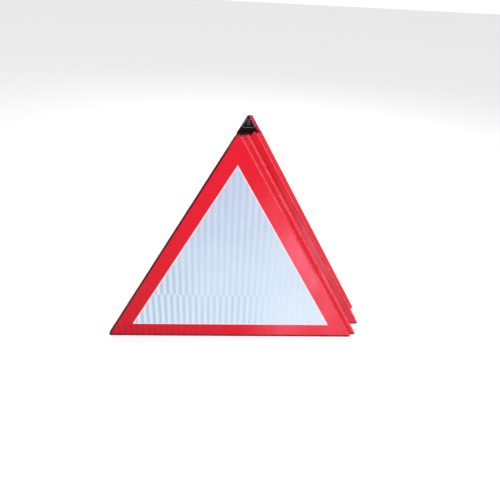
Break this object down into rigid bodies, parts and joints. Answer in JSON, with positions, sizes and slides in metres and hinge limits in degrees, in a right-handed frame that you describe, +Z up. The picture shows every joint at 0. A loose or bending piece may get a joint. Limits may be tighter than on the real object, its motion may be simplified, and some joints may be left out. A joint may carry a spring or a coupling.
{
  "type": "folding warning triangle",
  "caption": "Folding warning triangle: triangular fluted leaves with red border and white reflective field, joined by hinge tapes; opens into a pyramid; wire carry loop at the tip.",
  "frame": {"origin": "on the ground, at the middle of the front leaf's front face", "axes": "+X to the viewer's right along the base, +Y backwards through the stack of leaves, +Z up"},
  "size_m": [0.9527, 0.12, 0.8225],
  "materials": {
    "board": "fluted",
    "border_film": "reflective film",
    "field_film": "prismatic reflective film",
    "edging": "satin",
    "red_tape": "coated tape",
    "black_tape": "coated tape",
    "hook_and_loop": "hook and loop pile",
    "tab": "satin",
    "rivet": "domed",
    "clip": "brushed",
    "wire": "drawn"
  },
  "bodies": {
    "front_leaf": {"front_board": "board", "front_border_film": "border_film", "front_bottom_rail": "edging", "front_field_film": "field_film", "front_hinge_tape": "red_tape", "front_left_edging": "edging", "front_loop_tape": "hook_and_loop"},
    "second_leaf": {"second_board": "board", "second_border_film": "border_film", "second_bottom_rail": "edging", "second_field_film": "field_film", "second_left_hinge_tape": "black_tape", "second_right_hinge_tape": "red_tape"},
    "third_leaf": {"third_board": "board", "third_border_film": "border_film", "third_bottom_rail": "edging", "third_field_film": "field_film", "third_left_hinge_tape": "black_tape", "third_right_hinge_tape": "red_tape"},
    "rear_leaf": {"apex_tab": "tab", "apex_trim": "red_tape", "clip_rivet": "rivet", "closing_flap_hem": "black_tape", "loop_clip": "clip", "rear_board": "board", "rear_border_film": "border_film", "rear_bottom_rail": "edging", "rear_field_film": "field_film", "rear_hinge_tape": "red_tape", "rear_left_edging": "edging", "tab_rivets": "rivet"},
    "carry_loop": {"carry_loop": "wire"},
    "closing_flap": {"closing_flap": "black_tape", "hook_tape": "hook_and_loop"}
  },
  "joints": [
    {"name": "unfold_right", "type": "hinge", "parent": "front_leaf", "child": "second_leaf", "pos_m": [0.4627, 0.012, 0.0065], "axis": [0.5, 0, -0.866], "range_deg": [0, 108]},
    {"name": "unfold_left", "type": "hinge", "parent": "second_leaf", "child": "third_leaf", "pos_m": [-0.44532, 0.026, 0.0065], "axis": [0.5, 0, 0.866], "range_deg": [0, 243.9]},
    {"name": "unfold_rear", "type": "hinge", "parent": "third_leaf", "child": "rear_leaf", "pos_m": [0.51119, 0.09721, 0.00788], "axis": [0.4987, 0.0514, -0.8653], "range_deg": [0, 108]},
    {"name": "loop_swing", "type": "hinge", "parent": "rear_leaf", "child": "carry_loop", "pos_m": [0.02961, 0.05336, 0.8118], "axis": [-0.9987, -0.0514, -0.0008], "range_deg": [0, 165]},
    {"name": "flap_swing", "type": "hinge", "parent": "rear_leaf", "child": "closing_flap", "pos_m": [-0.41299, 0.0721, 0.00784], "axis": [0.5, 0, 0.866], "range_deg": [0, 180]}
  ],
  "couplings": [
    {"joint": "unfold_left", "follows": "unfold_right", "ratio": 2.2573},
    {"joint": "unfold_rear", "follows": "unfold_right", "ratio": 1}
  ]
}
